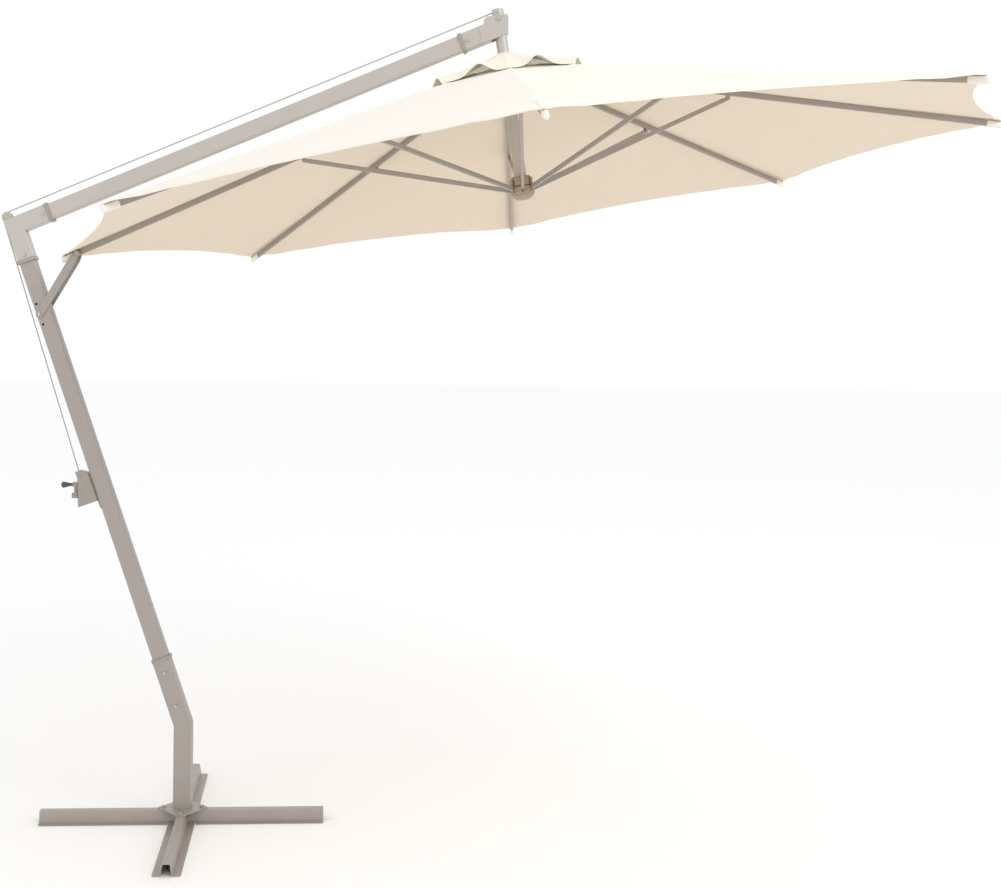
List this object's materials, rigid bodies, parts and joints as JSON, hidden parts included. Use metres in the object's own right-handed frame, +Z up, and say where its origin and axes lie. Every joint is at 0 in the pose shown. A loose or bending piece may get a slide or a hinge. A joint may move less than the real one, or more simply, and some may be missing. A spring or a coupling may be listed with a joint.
{
  "type": "cantilever parasol",
  "caption": "Leaning post and rising arm on a cross base, with a cranked round canopy of ribs and struts hung from a short mast.",
  "frame": {"origin": "the post's axis on the ground, at the middle of the cross base", "axes": "+Z up, +X from the post towards the canopy, in the plane of the post, arm and mast"},
  "size_m": [3.1753, 3.008, 2.6246],
  "materials": {
    "powder_coat": "satin",
    "light_powder_coat": "satin",
    "grey_plastic": "matte",
    "dark_plastic": "matte",
    "hub_plastic": "satin",
    "cream_plastic": "satin",
    "canopy_cloth": "matte",
    "cord": "matte",
    "fastener_steel": "satin"
  },
  "bodies": {
    "frame": {"base_bar_x": "powder_coat", "base_bar_y": "powder_coat", "flange_plate": "powder_coat", "base_bolts": "fastener_steel", "base_nuts": "fastener_steel", "lower_post": "powder_coat", "post_collar": "grey_plastic", "pole": "powder_coat", "elbow": "light_powder_coat", "elbow_collars": "grey_plastic", "pulley_housing": "cream_plastic", "elbow_axle": "fastener_steel", "arm": "light_powder_coat", "head_bracket": "light_powder_coat", "head_collar": "grey_plastic", "frame_bolts": "fastener_steel", "frame_nuts": "fastener_steel", "pivot_bolt": "fastener_steel", "pivot_nut": "fastener_steel", "winch_plate": "grey_plastic", "winch_case": "grey_plastic", "winch_screws": "fastener_steel", "hoist_cord": "cord"},
    "crank": {"crank_axle": "fastener_steel", "drum": "grey_plastic", "drum_cord": "cord", "crank_arm": "grey_plastic"},
    "knob": {"crank_knob": "dark_plastic"},
    "elbow_pulley": {"elbow_pulley": "cream_plastic"},
    "mast": {"mast_tube": "light_powder_coat", "mast_cap": "light_powder_coat", "head_pulley_axle": "fastener_steel", "crown": "hub_plastic", "crown_pins": "fastener_steel", "mast_collar": "hub_plastic", "canopy": "canopy_cloth", "vent_canopy": "canopy_cloth", "mast_cord": "cord"},
    "head_pulley": {"head_pulley": "cream_plastic"},
    "runner": {"runner": "hub_plastic", "runner_pins": "fastener_steel", "runner_cord": "cord"},
    "link": {"link": "powder_coat", "link_bolts": "fastener_steel"},
    "rib_1": {"rib_1": "powder_coat"},
    "strut_1": {"strut_1": "powder_coat"},
    "rib_2": {"rib_2": "powder_coat"},
    "strut_2": {"strut_2": "powder_coat"},
    "rib_3": {"rib_3": "powder_coat"},
    "strut_3": {"strut_3": "powder_coat"},
    "rib_4": {"rib_4": "powder_coat"},
    "strut_4": {"strut_4": "powder_coat"},
    "rib_5": {"rib_5": "powder_coat"},
    "strut_5": {"strut_5": "powder_coat"},
    "rib_6": {"rib_6": "powder_coat"},
    "strut_6": {"strut_6": "powder_coat"},
    "rib_7": {"rib_7": "powder_coat"},
    "strut_7": {"strut_7": "powder_coat"},
    "rib_8": {"rib_8": "powder_coat"},
    "strut_8": {"strut_8": "powder_coat"}
  },
  "joints": [
    {"name": "mast_tilt", "type": "hinge", "parent": "frame", "child": "mast", "pos_m": [0.9924, 0, 2.58916], "axis": [0, 1, 0], "range_deg": [-2, 2]},
    {"name": "canopy_fold", "type": "hinge", "parent": "mast", "child": "rib_1", "pos_m": [0.9844, 0, 2.42618], "axis": [0, -1, 0], "range_deg": [0, 72], "deforming": ["canopy", "vent_canopy", "runner_cord"]},
    {"name": "strut_1_swing", "type": "hinge", "parent": "rib_1", "child": "strut_1", "pos_m": [0.37366, 0, 2.13875], "axis": [0, -1, 0], "range_deg": [-144, 0]},
    {"name": "rib_2_fold", "type": "hinge", "parent": "mast", "child": "rib_2", "pos_m": [0.99367, -0.02263, 2.42757], "axis": [0.6993, -0.7071, 0.1045], "range_deg": [0, 72]},
    {"name": "strut_2_swing", "type": "hinge", "parent": "rib_2", "child": "strut_2", "pos_m": [0.57021, -0.47979, 2.16813], "axis": [0.6993, -0.7071, 0.1045], "range_deg": [-144, 0]},
    {"name": "rib_3_fold", "type": "hinge", "parent": "mast", "child": "rib_3", "pos_m": [1.01605, -0.032, 2.43091], "axis": [0.989, 0, 0.1478], "range_deg": [0, 72]},
    {"name": "strut_3_swing", "type": "hinge", "parent": "rib_3", "child": "strut_3", "pos_m": [1.04472, -0.67852, 2.23904], "axis": [0.989, 0, 0.1478], "range_deg": [-144, 0]},
    {"name": "rib_4_fold", "type": "hinge", "parent": "mast", "child": "rib_4", "pos_m": [1.03843, -0.02263, 2.43426], "axis": [0.6993, 0.7071, 0.1045], "range_deg": [0, 72]},
    {"name": "strut_4_swing", "type": "hinge", "parent": "rib_4", "child": "strut_4", "pos_m": [1.51924, -0.47979, 2.30996], "axis": [0.6993, 0.7071, 0.1045], "range_deg": [-144, 0]},
    {"name": "rib_5_fold", "type": "hinge", "parent": "mast", "child": "rib_5", "pos_m": [1.0477, 0, 2.43564], "axis": [0, 1, 0], "range_deg": [0, 72]},
    {"name": "strut_5_swing", "type": "hinge", "parent": "rib_5", "child": "strut_5", "pos_m": [1.71579, 0, 2.33934], "axis": [0, 1, 0], "range_deg": [-144, 0]},
    {"name": "rib_6_fold", "type": "hinge", "parent": "mast", "child": "rib_6", "pos_m": [1.03843, 0.02263, 2.43426], "axis": [-0.6993, 0.7071, -0.1045], "range_deg": [0, 72]},
    {"name": "strut_6_swing", "type": "hinge", "parent": "rib_6", "child": "strut_6", "pos_m": [1.51924, 0.47979, 2.30996], "axis": [-0.6993, 0.7071, -0.1045], "range_deg": [-144, 0]},
    {"name": "rib_7_fold", "type": "hinge", "parent": "mast", "child": "rib_7", "pos_m": [1.01605, 0.032, 2.43091], "axis": [-0.989, 0, -0.1478], "range_deg": [0, 72]},
    {"name": "strut_7_swing", "type": "hinge", "parent": "rib_7", "child": "strut_7", "pos_m": [1.04472, 0.67852, 2.23904], "axis": [-0.989, 0, -0.1478], "range_deg": [-144, 0]},
    {"name": "rib_8_fold", "type": "hinge", "parent": "mast", "child": "rib_8", "pos_m": [0.99367, 0.02263, 2.42757], "axis": [-0.6993, -0.7071, -0.1045], "range_deg": [0, 72]},
    {"name": "strut_8_swing", "type": "hinge", "parent": "rib_8", "child": "strut_8", "pos_m": [0.57021, 0.47979, 2.16813], "axis": [-0.6993, -0.7071, -0.1045], "range_deg": [-144, 0]},
    {"name": "runner_travel", "type": "hinge", "parent": "strut_1", "child": "runner", "pos_m": [1.04175, 0, 2.04245], "axis": [0, -1, 0], "range_deg": [0, 72]},
    {"name": "link_swing", "type": "hinge", "parent": "rib_1", "child": "link", "pos_m": [-0.36108, 0, 1.83556], "axis": [0, -1, 0], "range_deg": [-40.99, 0]},
    {"name": "elbow_pulley_spin", "type": "hinge", "parent": "frame", "child": "elbow_pulley", "pos_m": [-0.59737, 0, 1.95065], "axis": [0, 1, 0], "range_deg": [0, 3674]},
    {"name": "head_pulley_spin", "type": "hinge", "parent": "mast", "child": "head_pulley", "pos_m": [0.98687, 0, 2.60653], "axis": [0, 1, 0], "range_deg": [0, 5800]},
    {"name": "crank_turn", "type": "hinge", "parent": "frame", "child": "crank", "pos_m": [-0.34943, 0, 1.04749], "axis": [-0.9993, 0, -0.038], "range_deg": [-4373, 0]},
    {"name": "knob_spin", "type": "hinge", "parent": "crank", "child": "knob", "pos_m": [-0.3508, 0, 1.08346], "axis": [-0.9993, 0, -0.038], "continuous": true}
  ],
  "couplings": [
    {"joint": "strut_1_swing", "follows": "canopy_fold", "ratio": -2},
    {"joint": "rib_2_fold", "follows": "canopy_fold", "ratio": 1},
    {"joint": "strut_2_swing", "follows": "canopy_fold", "ratio": -2},
    {"joint": "rib_3_fold", "follows": "canopy_fold", "ratio": 1},
    {"joint": "strut_3_swing", "follows": "canopy_fold", "ratio": -2},
    {"joint": "rib_4_fold", "follows": "canopy_fold", "ratio": 1},
    {"joint": "strut_4_swing", "follows": "canopy_fold", "ratio": -2},
    {"joint": "rib_5_fold", "follows": "canopy_fold", "ratio": 1},
    {"joint": "strut_5_swing", "follows": "canopy_fold", "ratio": -2},
    {"joint": "rib_6_fold", "follows": "canopy_fold", "ratio": 1},
    {"joint": "strut_6_swing", "follows": "canopy_fold", "ratio": -2},
    {"joint": "rib_7_fold", "follows": "canopy_fold", "ratio": 1},
    {"joint": "strut_7_swing", "follows": "canopy_fold", "ratio": -2},
    {"joint": "rib_8_fold", "follows": "canopy_fold", "ratio": 1},
    {"joint": "strut_8_swing", "follows": "canopy_fold", "ratio": -2},
    {"joint": "runner_travel", "follows": "canopy_fold", "ratio": 1},
    {"joint": "link_swing", "follows": "canopy_fold", "ratio": -0.56935},
    {"joint": "elbow_pulley_spin", "follows": "canopy_fold", "ratio": 51.017},
    {"joint": "head_pulley_spin", "follows": "canopy_fold", "ratio": 80.554},
    {"joint": "crank_turn", "follows": "canopy_fold", "ratio": -60.735}
  ]
}
